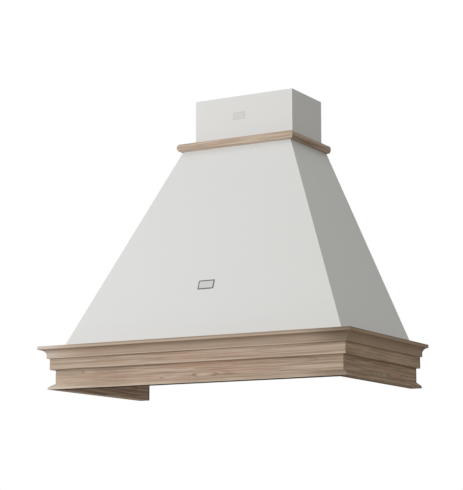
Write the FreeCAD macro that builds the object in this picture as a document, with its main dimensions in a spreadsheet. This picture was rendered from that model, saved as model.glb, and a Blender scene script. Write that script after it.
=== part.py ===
import FreeCAD, Part
import math
import os

import Sketcher
from FreeCAD import Placement, Rotation, Vector

# A wall-hung range hood cover: a painted, tapered canopy and a painted chimney, with bare
# wood mouldings round the canopy's foot and round its top.
#
# The cover stands on its rim at z = 0. X runs along the wall, the wall is at +Y, and the
# origin is the middle of the cover's footprint. The pieces on the left are mirror images of
# those on the right.

doc = FreeCAD.newDocument("range_hood_cover")
sheet = doc.addObject("Spreadsheet::Sheet", "Sizes")

SIZES = {
    # the whole cover
    "cover_width": 1000,
    "cover_depth": 515,
    "cornice_height": 124,
    # round on the sharp arrises of the mouldings, as sanding leaves it
    "eased_radius": 1,
    # crown moulding: a square fillet over a flat cove
    "crown_fillet": 10,
    "crown_quirk": 2.5,
    "crown_cove_depth": 17,
    "crown_cove_height": 12,
    "crown_toe": 12.7,
    "crown_foot_thickness": 19.5,
    # flat fascia strip under the crown
    "fascia_height": 32.4,
    "fascia_thickness": 12.5,
    # apron boards that carry the strips
    "apron_thickness": 18,
    # skirt moulding along the apron's foot: a bevel over a flat round
    "skirt_width": 16.3,
    "skirt_height": 16.5,
    "skirt_lip": 1,
    "skirt_round_depth": 3,
    "skirt_round_height": 7,
    "skirt_fillet": 1.5,
    # flat frame on the apron, on which the canopy stands
    "base_frame_thickness": 18,
    "base_frame_width": 80,
    # loose tongue that joins the apron and the base frame, with half its height in each
    "tongue_thickness": 6,
    "tongue_height": 16,
    # tapered canopy
    "front_ledge": 58.4,
    "side_ledge": 51.5,
    "canopy_height": 593,
    "canopy_top_width": 362.5,
    "canopy_top_depth": 234,
    "canopy_thickness": 15,
    # round-nosed strips at the canopy's top, and the board that they edge
    "nosing_height": 24,
    "nosing_radius": 10,
    "nosing_overhang": 14,
    "nosing_seat": 17,
    "duct_hole_diameter": 154,
    # chimney, set back from the canopy's top edges
    "chimney_side_ledge": 17,
    "chimney_front_ledge": 45,
    "chimney_height": 139,
    "chimney_thickness": 15,
    # battens and rails inside the canopy
    "corner_batten_leg": 30,
    "wall_batten_width": 30,
    "wall_batten_depth": 18,
    "foot_batten_height": 30,
    "foot_batten_width": 30,
    "foot_batten_gap": 4,
    "hanging_rail_height": 90,
    "hanging_rail_rise": 311,
    "top_rail_height": 60,
    "lower_rail_height": 46,
    "lower_rail_thickness": 18,
    "corner_block_leg": 60,
    "corner_block_height": 46,
    # blocks and cleat inside the chimney
    "chimney_block_side": 20,
    "chimney_cleat_height": 60,
    "chimney_cleat_thickness": 18,
    "chimney_cleat_drop": 20,
    # holes for the wall screws, and for the insert that hangs in the base frame
    "wall_hole_diameter": 6,
    "wall_hole_spacing": 406.4,
    "chimney_hole_spacing": 200,
    "insert_hole_diameter": 3,
    "insert_hole_inset": 11,
    "insert_hole_spacing": 240,
    # countersunk wood screws
    "screw_diameter": 4,
    "screw_head_diameter": 8,
    "screw_clearance": 0.25,
    "foot_screw_length": 38,
    "foot_screw_edge": 10,
    "foot_screw_margin": 60,
}

for row, (alias, size) in enumerate(SIZES.items(), start=1):
    sheet.set(f"A{row}", alias)
    sheet.set(f"B{row}", str(size))
    sheet.setAlias(f"B{row}", alias)
doc.recompute()


class Size:
    """A length worked out from the sheet's cells, kept as a formula."""

    def __init__(self, formula):
        self.formula = formula if isinstance(formula, str) else repr(float(formula))

    def __add__(self, other):
        return Size(f"({self.formula} + {as_size(other).formula})")

    def __sub__(self, other):
        return Size(f"({self.formula} - {as_size(other).formula})")

    def __mul__(self, other):
        return Size(f"({self.formula} * {as_size(other).formula})")

    def __truediv__(self, other):
        return Size(f"({self.formula} / {as_size(other).formula})")

    def __neg__(self):
        return Size(f"(0 - {self.formula})")

    def number(self):
        return float(sheet.evalExpression(self.formula))

    def bind(self, item, place):
        """Give one place of a document object this length, and keep it tied to the sheet."""
        item.setExpression(place, self.formula)


def as_size(value):
    return value if isinstance(value, Size) else Size(value)


def cell(alias):
    return Size(f"Sizes.{alias}")


def square_root(value):
    return Size(f"sqrt({value.formula})")


ZERO = Size(0)

# ---- lengths that follow from the sheet ----------------------------------------------------

half_width = cell("cover_width") / 2
wall_y = cell("cover_depth") / 2
front_y = -wall_y

# The cornice: how far in from the crown's outer arris each face lies, and how high.
crown_height = cell("crown_fillet") + cell("crown_cove_height") + cell("crown_toe")
crown_inner = cell("crown_quirk") + cell("crown_cove_depth") + cell("crown_foot_thickness")
crown_z = cell("cornice_height") - crown_height
fascia_inset = crown_inner - cell("fascia_thickness")
fascia_z = crown_z - cell("fascia_height")
skirt_inset = crown_inner - cell("skirt_width")
apron_inner = crown_inner + cell("apron_thickness")
apron_height = cell("cornice_height") - cell("base_frame_thickness")
frame_inner = crown_inner + cell("base_frame_width")

# The canopy's outer faces at its foot and at its top.
foot_z = cell("cornice_height")
foot_half_width = half_width - cell("side_ledge")
foot_front_y = front_y + cell("front_ledge")
top_z = foot_z + cell("canopy_height")
top_half_width = cell("canopy_top_width") / 2
top_front_y = wall_y - cell("canopy_top_depth")

# How far the canopy leans in for each millimetre that it rises, and its boards' thickness
# measured level, which is more than their own because they lean.
side_lean = (foot_half_width - top_half_width) / cell("canopy_height")
front_lean = (top_front_y - foot_front_y) / cell("canopy_height")
side_thickness = cell("canopy_thickness") * square_root(side_lean * side_lean + 1)
front_thickness = cell("canopy_thickness") * square_root(front_lean * front_lean + 1)

# The board over the canopy, and the chimney that stands on it.
board_half_width = top_half_width - cell("nosing_seat")
board_front_y = top_front_y + cell("nosing_seat")
chimney_z = top_z + cell("nosing_height")
chimney_half_width = top_half_width - cell("chimney_side_ledge")
chimney_front_y = top_front_y + cell("chimney_front_ledge")
chimney_inner_half = chimney_half_width - cell("chimney_thickness")
chimney_inner_front = chimney_front_y + cell("chimney_thickness")
chimney_block_height = cell("chimney_height") - cell("chimney_cleat_drop")
duct_y = (wall_y - cell("chimney_cleat_thickness") + chimney_inner_front) / 2


def outer_half(rise):
    return foot_half_width - side_lean * rise


def outer_front(rise):
    return foot_front_y + front_lean * rise


def inner_half(rise):
    return outer_half(rise) - side_thickness


def inner_front(rise):
    return outer_front(rise) + front_thickness


# ---- ways of making a piece ----------------------------------------------------------------

nodes = {}


def new_body(name, at, turned=0):
    """An empty piece whose own frame stands at a point, turned about Z by some degrees."""
    body = doc.addObject("PartDesign::Body", name)
    body.Label = name
    body.Placement = Placement(Vector(0, 0, 0), Rotation(Vector(0, 0, 1), turned))
    for axis, length in zip("xyz", at):
        as_size(length).bind(body, f"Placement.Base.{axis}")
    nodes[name] = body
    return body


def new_sketch(body, role):
    """A sketch on one of the piece's own origin planes."""
    sketch = body.newObject("Sketcher::SketchObject", f"{body.Name}_sketch")
    plane = next(item for item in body.Origin.OriginFeatures if item.Role == role)
    sketch.AttachmentSupport = (plane, [""])
    sketch.MapMode = "FlatFace"
    return sketch


def add_rule(sketch, rule, length):
    """A sketch dimension that stays tied to the sheet."""
    index = sketch.addConstraint(Sketcher.Constraint(*rule, length.number()))
    length.bind(sketch, f"Constraints[{index}]")


def pin(sketch, edge, end, x, y):
    """Set one end of an edge (1 start, 2 end, 3 centre) from the sketch's origin."""
    add_rule(sketch, ("DistanceX", -1, 1, edge, end), as_size(x))
    add_rule(sketch, ("DistanceY", -1, 1, edge, end), as_size(y))


def draw_arc(sketch, start, end, radius, left_turn):
    """An arc of less than a half circle, and which of its ends is the start given here."""
    chord = end - start
    reach = math.sqrt(max(radius ** 2 - chord.Length ** 2 / 4, 0))
    sideways = Vector(-chord.y, chord.x, 0).normalize() * (reach if left_turn else -reach)
    centre = (start + end) / 2 + sideways
    first, last = (start, end) if left_turn else (end, start)
    angles = [math.atan2(point.y - centre.y, point.x - centre.x) for point in (first, last)]
    circle = Part.Circle(centre, Vector(0, 0, 1), radius)
    sketch.addGeometry(Part.ArcOfCircle(circle, angles[0], angles[1]))
    return (1, 2) if left_turn else (2, 1)


def draw_outline(sketch, corners):
    """A closed outline. A corner is (x, y), with a straight edge to the next one, or
    (x, y, radius, left_turn), with an arc to it."""
    first = sketch.GeometryCount
    points = [Vector(as_size(x).number(), as_size(y).number(), 0) for x, y, *_ in corners]
    ends = []
    for index, (_, _, *arc) in enumerate(corners):
        start = points[index]
        end = points[(index + 1) % len(points)]
        if arc:
            ends.append(draw_arc(sketch, start, end, arc[0].number(), arc[1]))
        else:
            sketch.addGeometry(Part.LineSegment(start, end))
            ends.append((1, 2))
    for index, (x, y, *arc) in enumerate(corners):
        edge = first + index
        after = (index + 1) % len(corners)
        joined = ("Coincident", edge, ends[index][1], first + after, ends[after][0])
        sketch.addConstraint(Sketcher.Constraint(*joined))
        pin(sketch, edge, ends[index][0], x, y)
        if arc:
            add_rule(sketch, ("Radius", edge), arc[0])


def draw_circles(sketch, centres, diameter):
    for x, y in centres:
        point = Vector(x.number(), y.number(), 0)
        edge = sketch.addGeometry(Part.Circle(point, Vector(0, 0, 1), diameter.number() / 2))
        pin(sketch, edge, 3, x, y)
        add_rule(sketch, ("Radius", edge), diameter / 2)


def rise_along(feature, lean):
    """Send a pad or pocket upwards, leaning by so much for each millimetre of height."""
    feature.UseCustomVector = True
    feature.Direction = Vector(lean[0].number(), lean[1].number(), 1)
    lean[0].bind(feature, "Direction.x")
    lean[1].bind(feature, "Direction.y")
    feature.AlongSketchNormal = True


def pad(body, sketch, length, lean=None):
    feature = body.newObject("PartDesign::Pad", f"{body.Name}_pad")
    feature.Profile = sketch
    length.bind(feature, "Length")
    if lean:
        rise_along(feature, lean)
    doc.recompute()


def must_cut(body, before):
    """A cut that points away from the wood removes nothing, and says nothing either."""
    least_cut = 0.1
    if not body.Shape.Volume < before - least_cut:
        raise RuntimeError(f"{body.Name}: a cut removed nothing")


def bar(name, profile, length, at, turned=0):
    """A length of moulding or board: a profile of y inwards and z up, run along x."""
    body = new_body(name, at, turned)
    sketch = new_sketch(body, "YZ_Plane")
    draw_outline(sketch, profile)
    pad(body, sketch, length)
    return body


def mitre(body, along, inward, lean=(ZERO, ZERO), height=ZERO, end_at=None):
    """Cut a bar's start, and also its end where that is given, to meet the next bar. The cut
    runs from the outer corner to the inner one, and leans with the corner as it rises."""
    far = lean[0] * height + along * 2
    wedge = [(-along, -inward), (along * 2, inward * 2), (-far, inward * 2), (-far, -inward)]
    ends = [(wedge, lean[0])]
    if end_at:
        ends.append(([(end_at - x, y) for x, y in reversed(wedge)], -lean[0]))
    for outline, lean_along in ends:
        before = body.Shape.Volume
        sketch = new_sketch(body, "XY_Plane")
        draw_outline(sketch, outline)
        pocket = body.newObject("PartDesign::Pocket", f"{body.Name}_mitre")
        pocket.Profile = sketch
        pocket.Type = "ThroughAll"
        rise_along(pocket, (lean_along, lean[1]))
        doc.recompute()
        must_cut(body, before)


def drill(body, centres, diameter, depth=None, head=None, role="XY_Plane"):
    """Holes along the plane's normal, with a countersink where a head's diameter is given."""
    before = body.Shape.Volume
    sketch = new_sketch(body, role)
    draw_circles(sketch, centres, diameter)
    doc.recompute()
    hole = body.newObject("PartDesign::Hole", f"{body.Name}_hole")
    hole.Profile = sketch
    hole.Reversed = True
    hole.DrillPoint = "Flat"
    hole.DepthType = "Dimension" if depth else "ThroughAll"
    if head:
        hole.HoleCutType = "Countersink"
        hole.HoleCutCustomValues = True
        hole.HoleCutCountersinkAngle = 90
        head.bind(hole, "HoleCutDiameter")
    diameter.bind(hole, "Diameter")
    if depth:
        depth.bind(hole, "Depth")
    doc.recompute()
    must_cut(body, before)


def upright(name, corners, z, height, lean=None):
    """A board, block or batten with a level outline, upright or leaning."""
    body = new_body(name, (ZERO, ZERO, z))
    sketch = new_sketch(body, "XY_Plane")
    draw_outline(sketch, corners)
    pad(body, sketch, height, lean)
    return body


def wall_rail(name, z, height, foot_half, top_half, thickness, hole_spacing):
    """A rail flat against the wall, with ends that may lean and two screw holes in line."""
    body = new_body(name, (ZERO, wall_y, z))
    sketch = new_sketch(body, "XZ_Plane")
    corners = [(-foot_half, ZERO), (foot_half, ZERO), (top_half, height), (-top_half, height)]
    draw_outline(sketch, corners)
    pad(body, sketch, thickness)
    if hole_spacing:
        centres = [(hole_spacing / 2 * side, height / 2) for side in (-1, 1)]
        drill(body, centres, cell("wall_hole_diameter"), role="XZ_Plane")
    return body


def mirror_left(name):
    """The left-hand copy of a right-hand piece, across the cover's middle plane."""
    copy = doc.addObject("Part::Mirroring", name)
    copy.Label = name
    copy.Source = nodes[name.replace("left", "right")]
    copy.Base = Vector(0, 0, 0)
    copy.Normal = Vector(1, 0, 0)
    nodes[name] = copy


def copies(name, pattern, places):
    """One node of separate, equal pieces at the given points."""
    links = []
    for place in places:
        link = doc.addObject("App::Link", f"{name}_copy")
        link.LinkedObject = pattern
        for axis, length in zip("xyz", place):
            length.bind(link, f"Placement.Base.{axis}")
        links.append(link)
    group = doc.addObject("Part::Compound", name)
    group.Label = name
    group.Links = links
    nodes[name] = group


def rectangle(width, height):
    return [(ZERO, ZERO), (width, ZERO), (width, height), (ZERO, height)]


def spread(first, last, count):
    """Equal steps from the first length to the last."""
    return [first + (last - first) * (step / (count - 1)) for step in range(count)]


def front_and_sides(name, profile, inset, inner, z):
    """A cornice member in three mitred lengths. The insets of its outer and inner faces are
    measured from the crown's outer arris."""
    corner_x = half_width - inset
    corner_y = front_y + inset
    reach = inner - inset
    front_length = corner_x * 2
    front = bar(f"{name}_front", profile, front_length, (-corner_x, corner_y, z))
    mitre(front, reach, reach, end_at=front_length)
    side_length = wall_y - corner_y
    right = bar(f"{name}_right", profile, side_length, (corner_x, corner_y, z), turned=90)
    mitre(right, reach, reach)
    return front, right


# ---- apron boards: upright boards that the cornice is built on, grooved along the top ------

groove_outer = (cell("apron_thickness") - cell("tongue_thickness")) / 2
groove_inner = groove_outer + cell("tongue_thickness")
groove_depth = cell("tongue_height") / 2
apron_profile = [
    (ZERO, ZERO),
    (cell("apron_thickness"), ZERO),
    (cell("apron_thickness"), apron_height),
    (groove_inner, apron_height),
    (groove_inner, apron_height - groove_depth),
    (groove_outer, apron_height - groove_depth),
    (groove_outer, apron_height),
    (ZERO, apron_height),
]
front_and_sides("apron", apron_profile, crown_inner, apron_inner, ZERO)

# ---- base frame: a flat, mitred frame with the same groove in its underside ----------------

frame_width = cell("base_frame_width")
frame_thickness = cell("base_frame_thickness")
frame_profile = [
    (ZERO, ZERO),
    (groove_outer, ZERO),
    (groove_outer, groove_depth),
    (groove_inner, groove_depth),
    (groove_inner, ZERO),
    (frame_width, ZERO),
    (frame_width, frame_thickness),
    (ZERO, frame_thickness),
]
frame_front, frame_right = front_and_sides(
    "base_frame", frame_profile, crown_inner, frame_inner, apron_height)
opening_half = half_width - frame_inner
opening_front = front_y + frame_inner
opening_rear = wall_y - frame_width
bar("base_frame_rear", rectangle(frame_width, frame_thickness), opening_half * 2,
    (-opening_half, opening_rear, apron_height))

# ---- tongues: loose strips glued into the two grooves --------------------------------------

tongue_profile = rectangle(cell("tongue_thickness"), cell("tongue_height"))
front_and_sides("tongue", tongue_profile, crown_inner + groove_outer,
                crown_inner + groove_inner, apron_height - groove_depth)

# ---- crown moulding: a square fillet over a quirk, a flat cove and a plain toe -------------

eased = cell("eased_radius")


def arc_radius(run, drop):
    """The radius of an arc that sets out along its run and ends after its drop."""
    return (run * run + drop * drop) / (drop * 2)


cove_inner = cell("crown_quirk") + cell("crown_cove_depth")
cove_top = cell("crown_toe") + cell("crown_cove_height")
cove_radius = arc_radius(cell("crown_cove_depth"), cell("crown_cove_height"))
crown_profile = [
    (eased, crown_height, eased, True),
    (ZERO, crown_height - eased),
    (ZERO, cove_top + eased, eased, True),
    (eased, cove_top),
    (cell("crown_quirk"), cove_top, cove_radius, False),
    (cove_inner, cell("crown_toe")),
    (cove_inner, ZERO),
    (crown_inner, ZERO),
    (crown_inner, crown_height),
]
front_and_sides("crown", crown_profile, ZERO, crown_inner, crown_z)

# ---- fascia: the flat strip under the crown ------------------------------------------------

fascia_profile = [
    (ZERO, cell("fascia_height")),
    (ZERO, eased, eased, True),
    (eased, ZERO),
    (cell("fascia_thickness"), ZERO),
    (cell("fascia_thickness"), cell("fascia_height")),
]
front_and_sides("fascia", fascia_profile, fascia_inset, crown_inner, fascia_z)

# ---- skirt moulding: a bevel that falls away to a flat round -------------------------------

round_depth = cell("skirt_round_depth")
round_height = cell("skirt_round_height")
round_radius = arc_radius(round_height, round_depth)
skirt_profile = [
    (ZERO, cell("skirt_fillet")),
    (ZERO, ZERO),
    (cell("skirt_width"), ZERO),
    (cell("skirt_width"), cell("skirt_height")),
    (cell("skirt_width") - cell("skirt_lip"), cell("skirt_height")),
    (round_depth, cell("skirt_fillet") + round_height, round_radius, True),
]
front_and_sides("skirt", skirt_profile, skirt_inset, crown_inner, ZERO)

# ---- canopy: three leaning boards, mitred to each other along the two front arrises --------

rise = cell("canopy_height")


def leaning_profile(thickness, lean):
    """A board's end: level at its foot and at its top, leaning in between."""
    return [(ZERO, ZERO), (thickness, ZERO), (thickness + lean * rise, rise), (lean * rise, rise)]


canopy_front = bar("canopy_front", leaning_profile(front_thickness, front_lean),
                   foot_half_width * 2, (-foot_half_width, foot_front_y, foot_z))
mitre(canopy_front, side_thickness, front_thickness, (side_lean, front_lean), rise,
      end_at=foot_half_width * 2)
canopy_right = bar("canopy_right", leaning_profile(side_thickness, side_lean),
                   wall_y - foot_front_y, (foot_half_width, foot_front_y, foot_z), turned=90)
mitre(canopy_right, front_thickness, side_thickness, (front_lean, side_lean), rise)

# ---- battens up the canopy's corners and against the wall ----------------------------------

corner_x = inner_half(ZERO)
corner_y = inner_front(ZERO)
corner_leg = cell("corner_batten_leg")
upright("corner_batten_right",
        [(corner_x, corner_y), (corner_x, corner_y + corner_leg), (corner_x - corner_leg, corner_y)],
        foot_z, rise, lean=(-side_lean, front_lean))

wall_batten_x = corner_x - cell("wall_batten_width")
wall_batten_y = wall_y - cell("wall_batten_depth")
upright("wall_batten_right",
        [(corner_x, wall_batten_y), (corner_x, wall_y), (wall_batten_x, wall_y),
         (wall_batten_x, wall_batten_y)],
        foot_z, rise, lean=(-side_lean, ZERO))

# ---- foot battens: screwed up through the base frame, with a bevel that backs the boards ---

foot_height = cell("foot_batten_height")
foot_width = cell("foot_batten_width")


def foot_profile(lean):
    return [(ZERO, ZERO), (foot_width, ZERO), (foot_width, foot_height),
            (lean * foot_height, foot_height)]


corner_space = corner_leg + cell("foot_batten_gap")
foot_front_half = inner_half(foot_height) - corner_space
foot_side_start = inner_front(foot_height) + corner_space
foot_side_end = wall_batten_y
foot_front_at = (-foot_front_half, corner_y, foot_z)
foot_right_at = (corner_x, foot_side_start, foot_z)
foot_front = bar("foot_batten_front", foot_profile(front_lean), foot_front_half * 2, foot_front_at)
foot_right = bar("foot_batten_right", foot_profile(side_lean), foot_side_end - foot_side_start,
                 foot_right_at, turned=90)

# ---- rails against the wall ----------------------------------------------------------------


def rail_half(rise):
    return inner_half(rise) - cell("wall_batten_width")


hanging_foot = cell("hanging_rail_rise")
hanging_top = hanging_foot + cell("hanging_rail_height")
wall_rail("hanging_rail", foot_z + hanging_foot, cell("hanging_rail_height"),
          rail_half(hanging_foot), rail_half(hanging_top), cell("wall_batten_depth"),
          cell("wall_hole_spacing"))
top_rail_foot = rise - cell("top_rail_height")
wall_rail("top_rail", foot_z + top_rail_foot, cell("top_rail_height"),
          rail_half(top_rail_foot), rail_half(rise), cell("wall_batten_depth"), None)
lower_half = half_width - apron_inner
wall_rail("lower_rail", apron_height - cell("lower_rail_height"), cell("lower_rail_height"),
          lower_half, lower_half, cell("lower_rail_thickness"), cell("wall_hole_spacing"))

# ---- corner blocks: triangles glued in the apron's front corners, under the base frame -----

block_x = half_width - apron_inner
block_y = front_y + apron_inner
block_leg = cell("corner_block_leg")
block_outline = [(block_x, block_y), (block_x, block_y + block_leg), (block_x - block_leg, block_y)]
upright("corner_block_right", block_outline, apron_height - cell("corner_block_height"),
        cell("corner_block_height"))

# ---- nosing: round-nosed strips that edge the top board and oversail the canopy ------------

nosing_width = cell("nosing_overhang") + cell("nosing_seat")
nosing_radius = cell("nosing_radius")
nosing_profile = [
    (nosing_radius, cell("nosing_height"), nosing_radius, True),
    (ZERO, cell("nosing_height") - nosing_radius),
    (ZERO, nosing_radius, nosing_radius, True),
    (nosing_radius, ZERO),
    (nosing_width, ZERO),
    (nosing_width, cell("nosing_height")),
]
nosing_x = top_half_width + cell("nosing_overhang")
nosing_y = top_front_y - cell("nosing_overhang")
nosing_front = bar("nosing_front", nosing_profile, nosing_x * 2, (-nosing_x, nosing_y, top_z))
mitre(nosing_front, nosing_width, nosing_width, end_at=nosing_x * 2)
nosing_right = bar("nosing_right", nosing_profile, wall_y - nosing_y, (nosing_x, nosing_y, top_z),
                   turned=90)
mitre(nosing_right, nosing_width, nosing_width)

# ---- top board: closes the canopy, carries the chimney and lets the duct through -----------

board_outline = [(-board_half_width, board_front_y), (board_half_width, board_front_y),
                 (board_half_width, wall_y), (-board_half_width, wall_y)]
top_board = upright("top_board", board_outline, top_z, cell("nosing_height"))
drill(top_board, [(ZERO, duct_y)], cell("duct_hole_diameter"))

# ---- chimney: three upright boards, mitred at the front, on the top board ------------------

chimney_wall = cell("chimney_thickness")
chimney_profile = rectangle(chimney_wall, cell("chimney_height"))
chimney_front = bar("chimney_front", chimney_profile, chimney_half_width * 2,
                    (-chimney_half_width, chimney_front_y, chimney_z))
mitre(chimney_front, chimney_wall, chimney_wall, end_at=chimney_half_width * 2)
chimney_right = bar("chimney_right", chimney_profile, wall_y - chimney_front_y,
                    (chimney_half_width, chimney_front_y, chimney_z), turned=90)
mitre(chimney_right, chimney_wall, chimney_wall)

# ---- chimney blocks and cleat: square blocks in the corners, and a cleat to the wall -------

block_side = cell("chimney_block_side")
block_outer_x = chimney_inner_half
block_inner_x = chimney_inner_half - block_side
for row_name, block_front in (("front", chimney_inner_front), ("rear", wall_y - block_side)):
    upright(f"chimney_block_{row_name}_right",
            [(block_inner_x, block_front), (block_outer_x, block_front),
             (block_outer_x, block_front + block_side), (block_inner_x, block_front + block_side)],
            chimney_z, chimney_block_height)
wall_rail("chimney_cleat", chimney_z + chimney_block_height - cell("chimney_cleat_height"),
          cell("chimney_cleat_height"), block_inner_x, block_inner_x,
          cell("chimney_cleat_thickness"), cell("chimney_hole_spacing"))

# ---- foot screws: up through the base frame into the foot battens --------------------------


def seen_from(at, turned, points):
    """Points of the cover in the frame of a bar that starts at a point, turned or not."""
    if turned:
        return [(y - at[1], at[0] - x) for x, y in points]
    return [(x - at[0], y - at[1]) for x, y in points]


frame_front_at = (-(half_width - crown_inner), front_y + crown_inner)
frame_right_at = (half_width - crown_inner, front_y + crown_inner)
front_screw_count = 3
side_screw_count = 2
screw_hole = cell("screw_diameter") + cell("screw_clearance") * 2
screw_head_hole = cell("screw_head_diameter") + cell("screw_clearance") * 2
foot_pilot = cell("foot_screw_length") - frame_thickness + cell("screw_diameter") / 2
foot_line = foot_width - cell("foot_screw_edge")
margin = cell("foot_screw_margin")
screws_front = [(x, corner_y + foot_line)
                for x in spread(margin - foot_front_half, foot_front_half - margin,
                                front_screw_count)]
screws_right = [(corner_x - foot_line, y)
                for y in spread(foot_side_start + margin, foot_side_end - margin,
                                side_screw_count)]
for batten, batten_at, frame, at, turned, points in (
        (foot_front, foot_front_at, frame_front, frame_front_at, False, screws_front),
        (foot_right, foot_right_at, frame_right, frame_right_at, True, screws_right)):
    drill(frame, seen_from(at, turned, points), screw_hole, head=screw_head_hole)
    drill(batten, seen_from(batten_at, turned, points), screw_hole, foot_pilot)

screw_head = cell("screw_head_diameter") / 2
screw_shank = cell("screw_diameter") / 2
screw_length = cell("foot_screw_length")
foot_screw = doc.addObject("PartDesign::Body", "foot_screw_pattern")
screw_sketch = new_sketch(foot_screw, "XZ_Plane")
draw_outline(screw_sketch, [(ZERO, ZERO), (screw_head, ZERO),
                            (screw_shank, screw_head - screw_shank),
                            (screw_shank, screw_length - screw_shank * 2), (ZERO, screw_length)])
turned_screw = foot_screw.newObject("PartDesign::Revolution", "foot_screw_turned")
turned_screw.Profile = screw_sketch
turned_screw.ReferenceAxis = (screw_sketch, ["V_Axis"])
turned_screw.Angle = 360
screw_points = screws_front + screws_right + [(-x, y) for x, y in screws_right]
copies("foot_screws", foot_screw, [(x, y, apron_height) for x, y in screw_points])

# ---- pilot holes for the insert's flange, near the base frame's two inner side edges -------

insert_x = opening_half + cell("insert_hole_inset")
opening_middle = (opening_front + opening_rear) / 2
insert_points = [(insert_x, opening_middle + cell("insert_hole_spacing") / 2 * side)
                 for side in (-1, 1)]
drill(frame_right, seen_from(frame_right_at, True, insert_points), cell("insert_hole_diameter"))

# ---- the left-hand pieces ------------------------------------------------------------------

for name in ("apron_left", "base_frame_left", "tongue_left", "crown_left", "fascia_left",
             "skirt_left", "canopy_left", "corner_batten_left", "wall_batten_left",
             "foot_batten_left", "corner_block_left", "nosing_left", "chimney_left",
             "chimney_block_front_left", "chimney_block_rear_left"):
    mirror_left(name)

# ---- check every piece, then write it ------------------------------------------------------

doc.recompute()
for item in doc.Objects:
    if {"Invalid", "Error"} & set(item.State):
        raise RuntimeError(f"{item.Label}: {item.State}")

os.makedirs("parts", exist_ok=True)
for name, node in nodes.items():
    shape = node.Shape
    if shape.isNull() or not shape.isValid() or not shape.Solids:
        raise RuntimeError(f"{name}: no sound solid")
    shape.exportStep(f"parts/{name}.step")
    print(f"{name:28s} {len(shape.Solids):3d} solid(s) {shape.Volume / 1000:10.1f} cm3")
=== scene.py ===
import math

import bmesh
import bpy
import numpy as np
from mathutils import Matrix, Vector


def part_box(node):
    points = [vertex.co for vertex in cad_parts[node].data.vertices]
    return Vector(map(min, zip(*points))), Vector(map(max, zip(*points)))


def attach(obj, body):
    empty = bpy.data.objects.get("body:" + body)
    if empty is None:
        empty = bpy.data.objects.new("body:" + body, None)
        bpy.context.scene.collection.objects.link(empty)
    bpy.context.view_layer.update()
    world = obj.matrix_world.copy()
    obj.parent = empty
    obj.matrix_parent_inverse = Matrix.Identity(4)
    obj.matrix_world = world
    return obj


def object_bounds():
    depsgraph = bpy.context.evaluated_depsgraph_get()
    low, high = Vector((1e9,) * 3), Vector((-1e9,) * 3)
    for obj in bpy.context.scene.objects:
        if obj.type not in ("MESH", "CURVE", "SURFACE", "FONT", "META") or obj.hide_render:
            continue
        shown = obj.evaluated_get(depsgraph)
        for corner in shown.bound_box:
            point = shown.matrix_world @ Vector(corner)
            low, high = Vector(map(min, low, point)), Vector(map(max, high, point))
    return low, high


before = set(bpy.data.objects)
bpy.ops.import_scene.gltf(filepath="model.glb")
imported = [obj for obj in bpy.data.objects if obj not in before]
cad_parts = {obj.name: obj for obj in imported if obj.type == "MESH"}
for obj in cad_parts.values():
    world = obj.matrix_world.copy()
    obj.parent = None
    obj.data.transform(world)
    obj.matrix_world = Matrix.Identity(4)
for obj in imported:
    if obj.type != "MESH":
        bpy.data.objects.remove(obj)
cad_low, cad_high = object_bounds()

scene = bpy.context.scene
scene.view_settings.view_transform = "Standard"

# ---- the camera ----------------------------------------------------------------------------
# The cover is seen from low down on its right, from below its rim, with a long lens that
# looks slightly up. The lens takes in about 16 degrees across the frame's long side.

VIEW_FROM = (2.3997, -4.2060, -0.4027)
VIEW_TURN = 0.5187
VIEW_RISE = 0.1677
LENS = 124.34
FILM_WIDTH = 36
VIEW_REACH = 60

camera_data = bpy.data.cameras.new("camera")
camera_data.lens = LENS
camera_data.sensor_width = FILM_WIDTH
camera_data.clip_end = VIEW_REACH
camera = bpy.data.objects.new("camera", camera_data)
camera.location = VIEW_FROM
camera.rotation_euler = (math.pi / 2 + VIEW_RISE, 0, VIEW_TURN)
scene.collection.objects.link(camera)
scene.camera = camera

# ---- the studio ----------------------------------------------------------------------------
# The cover hangs at its height in a kitchen, 1.65 m over a plain, pale floor. A broad lamp
# lights it from the front, and weaker ones from its left, from above and from its right.

FLOOR_DEPTH = 1.65
FLOOR_REACH = 9.0
FLOOR_SEEN = (0.86, 0.86, 0.86, 1)
FLOOR_FELT = (0.62, 0.575, 0.53, 1)
WORLD_LEVEL = 0.22
WORLD_TONE = (WORLD_LEVEL, WORLD_LEVEL, WORLD_LEVEL * 0.97, 1)
WORLD_SEEN = (1, 1, 1, 1)

# Each lamp: where it stands, what it looks at, its width and height, its power and colour.
LAMPS = {
    "front_lamp": ((-3.0, -4.4, 0.8), (0, 0, 0.4), (3.0, 2.4), 182, (1, 1, 1)),
    "left_lamp": ((-4.5, -0.6, 1.2), (0, 0, 0.4), (2.0, 2.4), 30, (1, 1, 1)),
    "right_lamp": ((3.8, -2.5, 0.8), (0, 0, 0.4), (2.4, 2.4), 37, (1, 1, 0.90)),
    "top_lamp": ((0.2, -1.2, 4.2), (0, -0.1, 0.4), (3.0, 2.0), 34, (1, 1, 1)),
}


def add_node(tree, kind, inputs=None, **settings):
    """A shader node with its settings, and with each input given a value or a link."""
    made = tree.nodes.new(kind)
    for name, value in settings.items():
        setattr(made, name, value)
    for place, value in (inputs or {}).items():
        if isinstance(value, bpy.types.NodeSocket):
            tree.links.new(value, made.inputs[place])
        else:
            made.inputs[place].default_value = value
    return made


def blend_colour(tree, factor, first, second):
    """The first colour at 0, the second at 1, and a straight mix between them."""
    made = add_node(tree, "ShaderNodeMix", {0: factor, 6: first, 7: second}, data_type="RGBA")
    return made.outputs[2]


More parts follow.
